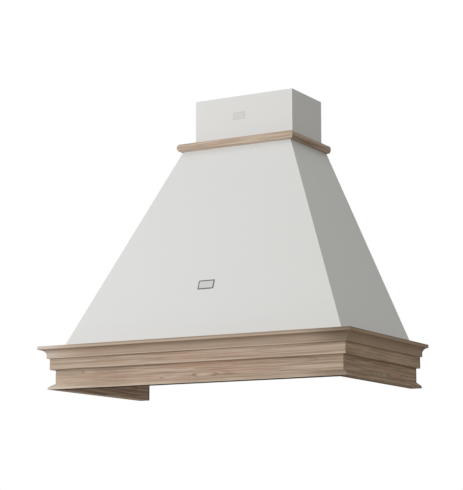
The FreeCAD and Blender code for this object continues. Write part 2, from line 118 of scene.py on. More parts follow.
def new_material(name, roughness=0.5, shine=0.5):
    """A named material with its shader, and the object's own coordinates in metres."""
    material = bpy.data.materials.new(name)
    material.use_nodes = True
    tree = material.node_tree
    shader = tree.nodes["Principled BSDF"]
    shader.inputs["Roughness"].default_value = roughness
    shader.inputs["Specular IOR Level"].default_value = shine
    place = add_node(tree, "ShaderNodeTexCoord").outputs["Object"]
    return material, tree, shader, place


def lay_surface(name, points, closed=False):
    """A mesh piece over a grid of points, row by row, with quads between its neighbours."""
    rows, columns = points.shape[:2]
    index = np.arange(rows * columns).reshape(rows, columns)
    if closed:
        index = np.concatenate([index, index[:, :1]], axis=1)
    quads = np.stack([index[:-1, :-1], index[:-1, 1:], index[1:, 1:], index[1:, :-1]], axis=-1)
    mesh = bpy.data.meshes.new(name)
    mesh.from_pydata(points.reshape(-1, 3).tolist(), [], quads.reshape(-1, 4).tolist())
    mesh.update()
    piece = bpy.data.objects.new(name, mesh)
    scene.collection.objects.link(piece)
    return piece


def hang_lamp(name, place, target, size, power, colour):
    """A lamp that looks at its target. It tips by the angle whose tangent is the level distance
    over the drop, and turns to the level direction, less a quarter turn."""
    data = bpy.data.lights.new(name, "AREA")
    data.shape = "RECTANGLE"
    data.size, data.size_y = size
    data.energy = power
    data.color = colour
    lamp = bpy.data.objects.new(name, data)
    lamp.location = place
    aim = [t - p for t, p in zip(target, place)]
    lamp.rotation_euler = (math.atan2(math.hypot(aim[0], aim[1]), -aim[2]), 0,
                           math.atan2(aim[1], aim[0]) - math.pi / 2)
    scene.collection.objects.link(lamp)


sides = np.array([-FLOOR_REACH, FLOOR_REACH])
floor_x, floor_y = np.meshgrid(sides, sides)
floor = lay_surface("floor", np.stack([floor_x, floor_y, np.full_like(floor_x, -FLOOR_DEPTH)], -1))
material, tree, shader, place = new_material("floor", 0.9, shine=0.1)
rays = add_node(tree, "ShaderNodeLightPath").outputs
tree.links.new(blend_colour(tree, rays["Is Camera Ray"], FLOOR_FELT, FLOOR_SEEN),
               shader.inputs["Base Color"])
floor.data.materials.append(material)

world = bpy.data.worlds.new("studio")
world.use_nodes = True
tree = world.node_tree
rays = add_node(tree, "ShaderNodeLightPath").outputs
shown = add_node(tree, "ShaderNodeMath", {0: rays["Is Camera Ray"], 1: rays["Is Glossy Ray"]},
                 operation="MAXIMUM").outputs[0]
tree.links.new(blend_colour(tree, shown, WORLD_TONE, WORLD_SEEN),
               tree.nodes["Background"].inputs["Color"])
scene.world = world

for name, lamp in LAMPS.items():
    hang_lamp(name, *lamp)

# ---- apron ---------------------------------------------------------------------------------
# Three upright boards of bare, sanded oak, mitred at the front corners, on which the cornice
# is built. Each is cut from its own part of a log, with its own rings, knots and pinkish
# streaks. The left board shows its inner face from below.

OAK_LIGHT = (0.560, 0.448, 0.352, 1)
OAK_PALE = (0.700, 0.580, 0.480, 1)
# A warmer, darker copy of the oak for the side boards: painted shade, as the right side lies in
# shade.
OAK_SIDE_SHADED = (0.570, 0.430, 0.311, 1)
OAK_APRON = (0.580, 0.465, 0.368, 1)
# A much paler copy of the oak for the left board's inner face: painted light, as that face lies in
# shade.
OAK_INSIDE_LIT = (0.760, 0.612, 0.497, 1)
OAK_DARK = (0.235, 0.155, 0.105, 1)
OAK_SOFT = (0.310, 0.220, 0.158, 1)
OAK_BLUSH = (0.470, 0.300, 0.222, 1)
OAK_GREY = (0.330, 0.300, 0.240, 1)
OAK_KNOT = (0.300, 0.225, 0.160, 1)
# A near-black oak, used as painted shade at the wall and under the rim.
OAK_PAINTED_SHADE = (0.055, 0.042, 0.033, 1)
OAK_SAWN = (0.340, 0.245, 0.170, 1)
OAK_SHINE = 0.12

# The wall's plane, how deep the painted shade goes along the edges at the wall and on the
# underside of the rim, and how deep the paler sawn face goes that lies flat on the wall.
WALL_Y = cad_high[1]
WALL_SHADE_DEPTH = 0.0040
RIM_SHADE_DEPTH = 0.00005
BACK_SKIN = 0.00005

# The axis that a board's grain runs along: the wall's, or the one from front to back.
ALONG_X, ALONG_Y = 0, 1

# Noise cells to the metre along, across and into a board, from its largest waves to its pores.
WANDER_CELLS = (1.2, 5.0, 5.0)
RIPPLE_CELLS = (5.0, 45.0, 45.0)
BLUSH_CELLS = (3.6, 42.0, 42.0)
STREAK_CELLS = (6.0, 300.0, 300.0)
FIBRE_CELLS = (14.0, 1400.0, 1400.0)
PORE_CELLS = (60.0, 2600.0, 2600.0)
# How far the pith wanders in depth and across, and how far a ring ripples, in metres.
WANDER_DEEP = 0.07
WANDER_ACROSS = -0.035
RIPPLE_REACH = 0.0025
# How much of the dark colour each adds, and how high each stands.
LATE_DARK, STREAK_DARK, FIBRE_DARK, PORE_DARK = 0.50, 0.68, 0.16, 0.12
LATE_HIGH, FIBRE_HIGH, PORE_HIGH = 0.5, 0.35, -0.6
# The least that a year's late wood shows, and how much more it may.
YEAR_LEAST, YEAR_MORE = 0.25, 0.75
# Late wood is this power of a ring's phase, and it breaks off over the end of the phase.
LATE_POWER = 3.0
LATE_END = (0.90, 1.0)
# Where in its noise each of these starts to show, and where it shows in full.
STREAK_BAND = (0.40, 0.62)
PORE_BAND = (0.62, 0.72)
BLUSH_BAND = (0.48, 0.66)
# A knot's heart shows in this part of its fill, with this share of its colour.
HEART_BAND = (0.80, 0.95)
HEART_SHARE = 0.45
# The roughness of early and of late wood, and how strong and how high the grain stands.
WOOD_ROUGH = (0.66, 0.56)
OAK_RELIEF = (0.25, 0.0004)


def new_group(name, inputs, outputs):
    """An empty shader node group with named inputs, their first values, and outputs."""
    group = bpy.data.node_groups.new(name, "ShaderNodeTree")
    for label, (kind, value) in inputs.items():
        socket = group.interface.new_socket(name=label, in_out="INPUT", socket_type=kind)
        socket.default_value = value
    for label, kind in outputs.items():
        group.interface.new_socket(name=label, in_out="OUTPUT", socket_type=kind)
    given = group.nodes.new("NodeGroupInput").outputs
    result = group.nodes.new("NodeGroupOutput").inputs
    return group, given, result


def math_on(tree, operation, first, second=0.0, third=0.0):
    """One step of arithmetic. A multiply-add gives the first times the second plus the third."""
    made = add_node(tree, "ShaderNodeMath", {0: first, 1: second, 2: third}, operation=operation)
    return made.outputs[0]


def ramp(tree, value, low, high, out_low=0.0, out_high=1.0):
    """A smooth step: one output up to the low, the other from the high, an S between them."""
    made = add_node(tree, "ShaderNodeMapRange",
                    {"Value": value, "From Min": low, "From Max": high, "To Min": out_low,
                     "To Max": out_high}, interpolation_type="SMOOTHSTEP")
    return made.outputs["Result"]


def stretched_noise(tree, place, cells, shift, detail=2.0):
    """Noise from 0 to 1 at the place times the cells to the metre, plus a shift."""
    moved = add_node(tree, "ShaderNodeVectorMath", {0: place, 1: cells}, operation="MULTIPLY")
    shifted = add_node(tree, "ShaderNodeVectorMath", {0: moved.outputs[0], 1: shift},
                       operation="ADD")
    noise = add_node(tree, "ShaderNodeTexNoise", {"Vector": shifted.outputs[0], "Scale": 1.0,
                                                  "Detail": detail, "Roughness": 0.5})
    return noise.outputs["Fac"]


def stain(tree, tone, where, amount, colour):
    """A tone with a colour mixed in, by the amount times how strongly it lies there."""
    return blend_colour(tree, math_on(tree, "MULTIPLY", where, amount), tone, colour)


def lay_finish(tree, shader, tone, roughness, height, relief):
    """Link a finish's colour, roughness and relief, which is how strong and how high it is."""
    tree.links.new(tone, shader.inputs["Base Color"])
    tree.links.new(roughness, shader.inputs["Roughness"])
    bump = add_node(tree, "ShaderNodeBump",
                    {"Strength": relief[0], "Distance": relief[1], "Height": height})
    tree.links.new(bump.outputs[0], shader.inputs["Normal"])
    return bump


def dress(nodes, material):
    """Give these solids of the frame their finish."""
    for node in nodes:
        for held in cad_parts[node].material_slots:
            held.material = material


# Oval: with r as the distance from a centre in half lengths and half heights, the fill is
# exp(-r^2) and the outline is exp(-((r - 1) / w)^2), which fades towards one side.
oval, given, result = new_group(
    "oval",
    {"Place": ("NodeSocketVector", (0, 0, 0)), "Centre": ("NodeSocketVector", (0, 0, 0)),
     "Reach": ("NodeSocketVector", (0.05, 0.01, 1.0)), "Line width": ("NodeSocketFloat", 0.2),
     "Side": ("NodeSocketFloat", 0.0)},
    {"Fill": "NodeSocketFloat", "Outline": "NodeSocketFloat"})
away = add_node(oval, "ShaderNodeVectorMath", {0: given["Place"], 1: given["Centre"]},
                operation="SUBTRACT")
scaled = add_node(oval, "ShaderNodeVectorMath", {0: away.outputs[0], 1: given["Reach"]},
                  operation="DIVIDE")
squared = add_node(oval, "ShaderNodeVectorMath", {0: scaled.outputs[0], 1: scaled.outputs[0]},
                   operation="DOT_PRODUCT").outputs["Value"]
oval.links.new(math_on(oval, "EXPONENT", math_on(oval, "MULTIPLY", squared, -1.0)),
               result["Fill"])
from_line = math_on(oval, "SUBTRACT", math_on(oval, "SQRT", squared), 1.0)
from_line = math_on(oval, "DIVIDE", from_line, given["Line width"])
from_line = math_on(oval, "MULTIPLY", from_line, from_line)
outline = math_on(oval, "EXPONENT", math_on(oval, "MULTIPLY", from_line, -1.0))
first_part = add_node(oval, "ShaderNodeSeparateXYZ", {0: scaled.outputs[0]}).outputs[0]
lean_to = ramp(oval, math_on(oval, "MULTIPLY", first_part, given["Side"]), -1.0, 0.5)
oval.links.new(math_on(oval, "MULTIPLY", outline, lean_to), result["Outline"])

# Figure: rings round a pith that lies behind the board's face and wanders along its length.
# Place holds metres along the grain, across the face and into the board. The radius is the
# root of the summed squares of the distances from the pith, across and into the board, and a
# ring's phase is the part after the point of the radius over the ring gap. Its late wood is
# that phase's cube. Streaks, fibres, pores and blushes are noise drawn out along the grain.
figure, given, result = new_group(
    "figure",
    {"Place": ("NodeSocketVector", (0, 0, 0)), "Seed": ("NodeSocketFloat", 0.0),
     "Ring gap": ("NodeSocketFloat", 0.007), "Pith depth": ("NodeSocketFloat", 0.05),
     "Pith across": ("NodeSocketFloat", 0.03), "Run-out": ("NodeSocketFloat", 0.03),
     "Knot push": ("NodeSocketFloat", 0.0), "Wander": ("NodeSocketFloat", 1.0),
     "Light": ("NodeSocketColor", (0.5, 0.4, 0.3, 1)),
     "Dark": ("NodeSocketColor", (0.3, 0.2, 0.15, 1)),
     "Blush": ("NodeSocketColor", (0.5, 0.3, 0.25, 1)), "Blush amount": ("NodeSocketFloat", 0.5)},
    {"Colour": "NodeSocketColor", "Roughness": "NodeSocketFloat", "Height": "NodeSocketFloat"})
seeds = add_node(figure, "ShaderNodeCombineXYZ",
                 {axis: given["Seed"] for axis in range(3)}).outputs[0]
board = add_node(figure, "ShaderNodeSeparateXYZ", {0: given["Place"]}).outputs
wander = math_on(figure, "SUBTRACT",
                 stretched_noise(figure, given["Place"], WANDER_CELLS, seeds), 0.5)
wander = math_on(figure, "MULTIPLY", wander, given["Wander"])
ripple = math_on(figure, "SUBTRACT",
                 stretched_noise(figure, given["Place"], RIPPLE_CELLS, seeds), 0.5)
depth = math_on(figure, "MULTIPLY_ADD", board[0], given["Run-out"], given["Pith depth"])
depth = math_on(figure, "ADD", depth, board[2])
depth = math_on(figure, "MULTIPLY_ADD", wander, WANDER_DEEP, depth)
across = math_on(figure, "SUBTRACT", board[1], given["Pith across"])
across = math_on(figure, "MULTIPLY_ADD", wander, WANDER_ACROSS, across)
radius = math_on(figure, "MULTIPLY_ADD", across, across, math_on(figure, "MULTIPLY", depth, depth))
radius = math_on(figure, "SQRT", radius)
radius = math_on(figure, "MULTIPLY_ADD", ripple, RIPPLE_REACH, radius)
radius = math_on(figure, "ADD", radius, given["Knot push"])
rings = math_on(figure, "DIVIDE", radius, given["Ring gap"])
phase = math_on(figure, "FRACT", rings)
late = math_on(figure, "POWER", phase, LATE_POWER)
late = math_on(figure, "MULTIPLY", late, ramp(figure, phase, *LATE_END, 1.0, 0.0))
year = add_node(figure, "ShaderNodeTexWhiteNoise",
                {"W": math_on(figure, "ADD", math_on(figure, "FLOOR", rings), given["Seed"])},
                noise_dimensions="1D").outputs["Value"]
late = math_on(figure, "MULTIPLY", late,
               math_on(figure, "MULTIPLY_ADD", year, YEAR_MORE, YEAR_LEAST))
streak = stretched_noise(figure, given["Place"], STREAK_CELLS, seeds, 3.0)
streak = ramp(figure, streak, *STREAK_BAND)
fibre = stretched_noise(figure, given["Place"], FIBRE_CELLS, seeds)
pores = stretched_noise(figure, given["Place"], PORE_CELLS, seeds, 0.0)
pores = ramp(figure, pores, *PORE_BAND)
shade = math_on(figure, "MULTIPLY_ADD", late, LATE_DARK,
                math_on(figure, "MULTIPLY", streak, STREAK_DARK))
shade = math_on(figure, "MULTIPLY_ADD", fibre, FIBRE_DARK, shade)
shade = math_on(figure, "MULTIPLY_ADD", pores, PORE_DARK, shade)
tone = blend_colour(figure, shade, given["Light"], given["Dark"])
flush = ramp(figure, stretched_noise(figure, given["Place"], BLUSH_CELLS, seeds), *BLUSH_BAND)
tone = stain(figure, tone, flush, given["Blush amount"], given["Blush"])
figure.links.new(tone, result["Colour"])
figure.links.new(ramp(figure, late, 0.0, 1.0, *WOOD_ROUGH), result["Roughness"])
relief = math_on(figure, "MULTIPLY_ADD", late, LATE_HIGH,
                 math_on(figure, "MULTIPLY", fibre, FIBRE_HIGH))
relief = math_on(figure, "MULTIPLY_ADD", pores, PORE_HIGH, relief)
figure.links.new(relief, result["Height"])


def oval_on(tree, board, centre, reach, side=0.0):
    """The fill and the outline of an oval on a board, its centre and reach as (along, up)."""
    return add_node(tree, "ShaderNodeGroup",
                    {"Place": board, "Centre": (*centre, 0), "Reach": (*reach, 1), "Side": side},
                    node_tree=oval).outputs


def oak(name, nodes, seed, grain, face, gap=0.0075, depth=0.05, across=0.03, run_out=0.03,
        blush=0.5, knots=(), marks=(), loops=(), light=OAK_LIGHT, dark=OAK_DARK, wander=1.0,
        under_shade=0.5, wall_shade_depth=WALL_SHADE_DEPTH):
    """Bare oak for one board. Its grain runs along one axis, and its outer face lies at a place
    on the other. A knot is (centre, reach, push), a mark (centre, reach, amount, colour) and a
    loop (centre, reach, side, amount, colour), each centre and reach as (along, up). A knot
    pushes the rings out by its fill times its push. A mark mixes in its colour by its fill
    times its amount, and a loop by its outline times its amount."""
    material, tree, shader, place = new_material(name, shine=OAK_SHINE)
    parts = add_node(tree, "ShaderNodeSeparateXYZ", {0: place}).outputs
    if grain == ALONG_X:
        laid = (parts[0], parts[2], math_on(tree, "ADD", parts[1], -face))
    else:
        laid = (parts[1], parts[2], math_on(tree, "MULTIPLY_ADD", parts[0], -1.0, face))
    board = add_node(tree, "ShaderNodeCombineXYZ", dict(enumerate(laid))).outputs[0]
    push = 0.0
    heart = 0.0
    for centre, reach, amount in knots:
        bulge = oval_on(tree, board, centre, reach)["Fill"]
        push = math_on(tree, "MULTIPLY_ADD", bulge, amount, push)
        heart = math_on(tree, "MAXIMUM", ramp(tree, bulge, *HEART_BAND), heart)
    wood = add_node(tree, "ShaderNodeGroup",
                    {"Place": board, "Seed": seed, "Ring gap": gap, "Pith depth": depth,
                     "Pith across": across, "Run-out": run_out, "Knot push": push,
                     "Wander": wander, "Light": light, "Dark": dark, "Blush": OAK_BLUSH,
                     "Blush amount": blush}, node_tree=figure).outputs
    tone = wood["Colour"]
    if knots:
        tone = stain(tree, tone, heart, HEART_SHARE, OAK_KNOT)
    for centre, reach, amount, colour in marks:
        fill = oval_on(tree, board, centre, reach)["Fill"]
        tone = stain(tree, tone, fill, amount, colour)
    for centre, reach, side, amount, colour in loops:
        outline = oval_on(tree, board, centre, reach, side)["Outline"]
        tone = stain(tree, tone, outline, amount, colour)
    # Painted shade: a strip of each face next to the wall, and the underside at the rim by the
    # board's share, go near black.
    wall_shade = ramp(tree, parts[1], WALL_Y - wall_shade_depth, WALL_Y - wall_shade_depth * 0.6)
    rim_shade = ramp(tree, parts[2], RIM_SHADE_DEPTH, RIM_SHADE_DEPTH * 4, under_shade, 0.0)
    tone = blend_colour(tree, math_on(tree, "MAXIMUM", wall_shade, rim_shade), tone, OAK_PAINTED_SHADE)
    back = ramp(tree, parts[1], WALL_Y - BACK_SKIN * 2, WALL_Y - BACK_SKIN)
    tone = blend_colour(tree, back, tone, OAK_SAWN)
    bump = lay_finish(tree, shader, tone, wood["Roughness"], wood["Height"], OAK_RELIEF)
    dress(nodes, material)
    return tree, parts, bump


# On the front board, the wide dark band along the top and the grey patches at the top left are
# painted shade under the fascia, and the underside is painted dark as shade.
oak("oak_apron_front", ["apron_front"], 3.1, ALONG_X, face=-0.2185, gap=0.0060, depth=0.035,
    across=0.045, run_out=0.02, blush=0.3, wander=0.5, light=OAK_APRON, dark=OAK_SOFT,
    under_shade=1.0,
    knots=[((0.038, 0.0225), (0.055, 0.008), 0.020), ((-0.075, 0.022), (0.04, 0.006), 0.010)],
    marks=[((0.0, 0.0480), (2.0, 0.0065), 0.18, OAK_DARK),
           ((0.02, 0.0505), (0.11, 0.0040), 0.80, OAK_BLUSH),
           ((-0.05, 0.0455), (0.07, 0.0030), 0.60, OAK_BLUSH),
           ((0.10, 0.0350), (0.08, 0.0024), 0.90, OAK_BLUSH),
           ((-0.14, 0.0195), (0.05, 0.0030), 0.60, OAK_BLUSH),
           ((0.24, 0.0280), (0.12, 0.0090), 0.12, OAK_BLUSH),
           ((0.20, 0.0290), (0.07, 0.0060), 0.12, OAK_PALE),
           ((-0.46, 0.0290), (0.03, 0.0120), 0.20, OAK_PALE),
           ((-0.05, 0.0390), (0.05, 0.0022), 0.50, OAK_PALE),
           ((0.036, 0.0225), (0.024, 0.0040), 0.60, OAK_PALE),
           ((-0.070, 0.0205), (0.022, 0.0034), 0.50, OAK_PALE),
           ((-0.345, 0.0460), (0.018, 0.0022), 0.50, OAK_PALE),
           ((-0.44, 0.0480), (0.11, 0.0110), 0.40, OAK_GREY),
           ((-0.26, 0.0540), (0.12, 0.0030), 0.45, OAK_GREY),
           ((-0.366, 0.0465), (0.004, 0.0042), 0.70, OAK_DARK),
           ((-0.31, 0.0425), (0.05, 0.0010), 0.45, OAK_DARK),
           ((-0.27, 0.0508), (0.09, 0.0012), 0.50, OAK_DARK),
           ((-0.423, 0.0200), (0.012, 0.0012), 0.50, OAK_DARK),
           ((-0.33, 0.0345), (0.12, 0.0008), 0.35, OAK_DARK),
           ((0.03, 0.0510), (0.08, 0.0012), 0.50, OAK_DARK),
           ((0.0, 0.0462), (0.10, 0.0009), 0.35, OAK_DARK),
           ((0.11, 0.0350), (0.07, 0.0010), 0.60, OAK_DARK),
           ((0.069, 0.0210), (0.009, 0.0026), 0.55, OAK_DARK),
           ((0.005, 0.0240), (0.004, 0.0050), 0.45, OAK_DARK),
           ((-0.101, 0.0190), (0.006, 0.0022), 0.60, OAK_DARK),
           ((-0.070, 0.0250), (0.022, 0.0010), 0.55, OAK_DARK),
           ((0.410, 0.0290), (0.10, 0.0050), 0.22, OAK_PALE),
           ((0.375, 0.0480), (0.06, 0.0009), 0.40, OAK_DARK),
           ((0.390, 0.0430), (0.05, 0.0009), 0.45, OAK_DARK),
           ((0.420, 0.0360), (0.03, 0.0008), 0.40, OAK_DARK),
           ((0.400, 0.0225), (0.05, 0.0010), 0.40, OAK_DARK),
           ((0.22, 0.0420), (0.09, 0.0008), 0.30, OAK_DARK)],
    loops=[((0.040, 0.0222), (0.038, 0.0058), 0.0, 0.75, OAK_DARK),
           ((0.030, 0.0230), (0.085, 0.0120), 1.0, 0.30, OAK_DARK)])
oak("oak_apron_left", ["apron_left"], 5.7, ALONG_Y, face=-0.461, blush=0.3, light=OAK_INSIDE_LIT,
    dark=OAK_SOFT, under_shade=0.0, wall_shade_depth=0.007)
# On the right board, the grey patch high up near the front is painted shade under the fascia.
oak("oak_apron_right", ["apron_right"], 8.2, ALONG_Y, face=0.461, gap=0.0080, depth=0.03,
    across=0.03, run_out=-0.04, blush=0.25, light=OAK_SIDE_SHADED, wander=0.5, wall_shade_depth=0.005,
    knots=[((0.060, 0.0220), (0.100, 0.016), 0.030)],
    marks=[((0.030, 0.0400), (0.05, 0.0020), 0.50, OAK_BLUSH),
           ((0.080, 0.0345), (0.04, 0.0016), 0.80, OAK_BLUSH),
           ((-0.020, 0.0240), (0.045, 0.0035), 0.40, OAK_GREY),
           ((-0.115, 0.0490), (0.05, 0.0035), 0.40, OAK_GREY),
           ((0.020, 0.0220), (0.009, 0.0040), 0.75, OAK_GREY),
           ((0.022, 0.0225), (0.004, 0.0024), 0.55, OAK_DARK),
           ((0.038, 0.0225), (0.008, 0.0035), 0.60, OAK_PALE),
           ((0.050, 0.0510), (0.05, 0.0010), 0.45, OAK_DARK),
           ((-0.005, 0.0400), (0.03, 0.0009), 0.40, OAK_DARK),
           ((0.080, 0.0350), (0.03, 0.0008), 0.40, OAK_DARK),
           ((0.215, 0.0390), (0.03, 0.0009), 0.40, OAK_DARK)],
    loops=[((0.050, 0.0240), (0.080, 0.0160), 1.0, 0.65, OAK_BLUSH),
           ((0.045, 0.0230), (0.050, 0.0105), 1.0, 0.60, OAK_BLUSH)])

# ---- tongues -------------------------------------------------------------------------------
# Thin plywood strips glued into the grooves between the apron and the base frame. Only their
# ends against the wall show, with the plies as fine stripes.

PLY_LIGHT = (0.680, 0.540, 0.380, 1)
PLY_DARK = (0.400, 0.270, 0.160, 1)
PLY_PAIR = 0.002
PLY_BAND = (0.2, 0.3)

# The plies repeat across the strip, and each pair is dark where its phase is near 0 or 1.
material, tree, shader, place = new_material("plywood_strip", 0.7)
parts = add_node(tree, "ShaderNodeSeparateXYZ", {0: place}).outputs
plies = math_on(tree, "FRACT", math_on(tree, "DIVIDE", parts[0], PLY_PAIR))
plies = math_on(tree, "ABSOLUTE", math_on(tree, "SUBTRACT", plies, 0.5))
plies = ramp(tree, plies, *PLY_BAND)
tree.links.new(blend_colour(tree, plies, PLY_LIGHT, PLY_DARK), shader.inputs["Base Color"])
dress(["tongue_front", "tongue_left", "tongue_right"], material)

# ---- base frame ----------------------------------------------------------------------------
# A flat frame of bare oak boards, mitred at the front and glued down on the apron's tongues.
# The canopy stands on it, and it is seen from below through the cover's open mouth.

oak("oak_base_frame_front", ["base_frame_front", "base_frame_rear"], 41.0, ALONG_X, face=0.0)
oak("oak_base_frame_sides", ["base_frame_left", "base_frame_right"], 44.0, ALONG_Y, face=0.0)

# ---- crown moulding ------------------------------------------------------------------------
# The cornice's top member, run in oak with a square fillet over a quirk and a flat cove, and
# mitred at the corners. Hand sanding has softened the mitres. Painted highlights run along the toe
# and in the fillet, painted shade along the fillet's top, and a painted highlight lies on its left
# end.

OAK_CROWN = (0.440, 0.352, 0.280, 1)
# A darker copy of the crown's oak for the sides: painted shade.
OAK_CROWN_SHADED = (0.394, 0.296, 0.217, 1)
OAK_MILD = (0.370, 0.275, 0.205, 1)
# A paler oak, a painted highlight on the left ends of the crown and the skirt.
OAK_PAINTED_LIGHT = (0.690, 0.605, 0.530, 1)
CROWN_HALF_LENGTH = 0.5
CROWN_FRONT_REACH = 0.2575
MITRE_REACH = 0.165

# Softened mitre: near the end of a moulding its normal turns towards the next side. It is the
# unit vector of the face's normal plus that side's direction times a smooth step.
softened_mitre, given, result = new_group(
    "softened_mitre",
    {"To end": ("NodeSocketFloat", 0.0), "Towards": ("NodeSocketVector", (1, 0, 0))},
    {"Normal": "NodeSocketVector"})
swing = ramp(softened_mitre, given["To end"], 0.0, MITRE_REACH, 1.0, 0.0)
sideways = add_node(softened_mitre, "ShaderNodeVectorMath",
                    {0: given["Towards"], "Scale": swing}, operation="SCALE")
facing = add_node(softened_mitre, "ShaderNodeNewGeometry").outputs["Normal"]
leaning = add_node(softened_mitre, "ShaderNodeVectorMath", {0: facing, 1: sideways.outputs[0]},
                   operation="ADD").outputs[0]
unit = add_node(softened_mitre, "ShaderNodeVectorMath", {0: leaning}, operation="NORMALIZE")
softened_mitre.links.new(unit.outputs[0], result["Normal"])


def soften_front(wood, half_length):
    """Soften a front moulding at both its mitres, towards the left and right sides. The
    distance to the mitre is the half length less the distance from the middle."""
    tree, parts, bump = wood
    to_end = math_on(tree, "SUBTRACT", half_length, math_on(tree, "ABSOLUTE", parts[0]))
    side = add_node(tree, "ShaderNodeCombineXYZ", {0: math_on(tree, "SIGN", parts[0])})
    turned = add_node(tree, "ShaderNodeGroup", {"To end": to_end, "Towards": side.outputs[0]},
                      node_tree=softened_mitre)
    tree.links.new(turned.outputs["Normal"], bump.inputs["Normal"])


def soften_side(wood, front_reach):
    """Soften a side moulding at its one mitre, towards the front. The distance to the mitre is
    the place along the side plus the reach to the front."""
    tree, parts, bump = wood
    turned = add_node(tree, "ShaderNodeGroup",
                      {"To end": math_on(tree, "ADD", parts[1], front_reach),
                       "Towards": (0, -1, 0)}, node_tree=softened_mitre)
    tree.links.new(turned.outputs["Normal"], bump.inputs["Normal"])


# Full-length lines: a painted highlight along the toe and in the fillet, and painted shade along
# the fillet's top. The marks at the left end are a painted highlight.
crown_wood = oak(
    "oak_crown_front", ["crown_front"], 23.3, ALONG_X, face=-CROWN_FRONT_REACH, gap=0.0120,
    depth=0.09, across=0.16, run_out=0.002, blush=0.12, light=OAK_CROWN, dark=OAK_MILD, wander=0.2,
    marks=[((0.0, 0.0905), (2.0, 0.0013), 0.50, OAK_PALE),
           ((0.0, 0.1175), (2.0, 0.0014), 0.35, OAK_PALE),
           ((0.0, 0.1225), (2.0, 0.0014), 0.40, OAK_DARK),
           ((-0.51, 0.0980), (0.09, 0.0180), 0.75, OAK_PAINTED_LIGHT),
           ((-0.51, 0.1210), (0.09, 0.0050), 1.00, OAK_PAINTED_LIGHT)])
soften_front(crown_wood, CROWN_HALF_LENGTH)
# The sides: the darker copy for shade, a painted highlight along the toe and painted shade along
# the fillet's top.
crown_wood = oak(
    "oak_crown_sides", ["crown_left", "crown_right"], 24.8, ALONG_Y, face=CROWN_HALF_LENGTH,
    gap=0.0120, depth=0.09, across=0.16, run_out=0.002, blush=0.1, light=OAK_CROWN_SHADED,
    dark=OAK_MILD, wander=0.2,
    marks=[((0.0, 0.0905), (2.0, 0.0013), 0.20, OAK_PALE),
           ((0.0, 0.1225), (2.0, 0.0016), 0.60, OAK_DARK)])
soften_side(crown_wood, CROWN_FRONT_REACH)

# ---- fascia --------------------------------------------------------------------------------
# Flat oak strips under the crown, with an eased lower arris, mitred at the corners and pinned
# to the apron. Their grain is fine and straight, with a pinkish patch near the middle.

OAK_FASCIA = (0.548, 0.440, 0.348, 1)

# Full-length lines: a painted highlight on the eased lower arris and across the middle, and
# painted shade under the crown's toe.
oak("oak_fascia_front", ["fascia_front"], 12.4, ALONG_X, face=-0.2315, gap=0.0048, depth=0.06,
    across=0.10, run_out=0.004, blush=0.2, wander=0.2, light=OAK_FASCIA, dark=OAK_SOFT,
    marks=[((0.0, 0.0603), (2.0, 0.0012), 0.45, OAK_PALE),
           ((0.0, 0.0795), (2.0, 0.0030), 0.15, OAK_PALE),
           ((0.0, 0.0860), (2.0, 0.0018), 0.25, OAK_DARK),
           ((-0.02, 0.0720), (0.08, 0.0090), 0.40, OAK_BLUSH),
           ((0.15, 0.0700), (0.05, 0.0016), 0.50, OAK_BLUSH),
           ((-0.42, 0.0730), (0.04, 0.0035), 0.45, OAK_GREY),
           ((-0.30, 0.0800), (0.09, 0.0008), 0.35, OAK_DARK),
           ((-0.22, 0.0670), (0.07, 0.0008), 0.30, OAK_DARK),
           ((0.40, 0.0750), (0.13, 0.0060), 0.35, OAK_PALE),
           ((0.40, 0.0680), (0.06, 0.0008), 0.30, OAK_DARK)])
oak("oak_fascia_sides", ["fascia_left", "fascia_right"], 15.9, ALONG_Y, face=0.474, gap=0.0052,
    depth=0.06, across=0.10, run_out=0.004, blush=0.25, light=OAK_SIDE_SHADED, wander=0.3)

# ---- skirt moulding ------------------------------------------------------------------------
# Small oak strips along the apron's foot, run with a bevel over a flat round and mitred at the
# corners, where they are softened as the crown is.

OAK_SKIRT = (0.600, 0.482, 0.380, 1)
# A darker, warmer copy for the right skirt: painted shade.
OAK_SKIRT_SHADED = (0.600, 0.462, 0.340, 1)
SKIRT_HALF_LENGTH = 0.4773
SKIRT_FRONT_REACH = 0.2348

# Full-length lines: painted highlights at the foot and on the bevel. The marks at both ends are
# painted light, and the underside is painted dark as shade.
skirt_wood = oak(
    "oak_skirt_front", ["skirt_front"], 31.6, ALONG_X, face=-0.234, gap=0.0070, depth=0.09,
    across=0.09, run_out=0.002, blush=0.3, light=OAK_SKIRT, dark=OAK_MILD, wander=0.3,
    under_shade=1.0,
    marks=[((0.0, 0.0008), (2.0, 0.0012), 0.60, OAK_PALE),
           ((0.0, 0.0135), (2.0, 0.0030), 0.30, OAK_PALE),
           ((-0.49, 0.0080), (0.07, 2.0), 0.60, OAK_PAINTED_LIGHT),
           ((0.49, 0.0080), (0.07, 2.0), 0.60, OAK_PALE)])
soften_front(skirt_wood, SKIRT_HALF_LENGTH)
skirt_wood = oak(
    "oak_skirt_left", ["skirt_left"], 36.8, ALONG_Y, face=-0.4765, gap=0.0070, depth=0.09,
    across=0.09, run_out=0.002, blush=0.3, light=OAK_SKIRT, wander=0.3, under_shade=0.0)
soften_side(skirt_wood, SKIRT_FRONT_REACH)
skirt_wood = oak(
    "oak_skirt_right", ["skirt_right"], 35.2, ALONG_Y, face=0.4765, gap=0.0070, depth=0.09,
    across=0.09, run_out=0.002, blush=0.3, light=OAK_SKIRT_SHADED, wander=0.3, under_shade=0.3)
soften_side(skirt_wood, SKIRT_FRONT_REACH)

# ---- canopy --------------------------------------------------------------------------------
# Three leaning boards of fine fibreboard, mitred at the corners and sprayed matt white on the
# outside, with a painted highlight along the foot and up the front's arrises. The inside and the
# edges at the wall are raw.

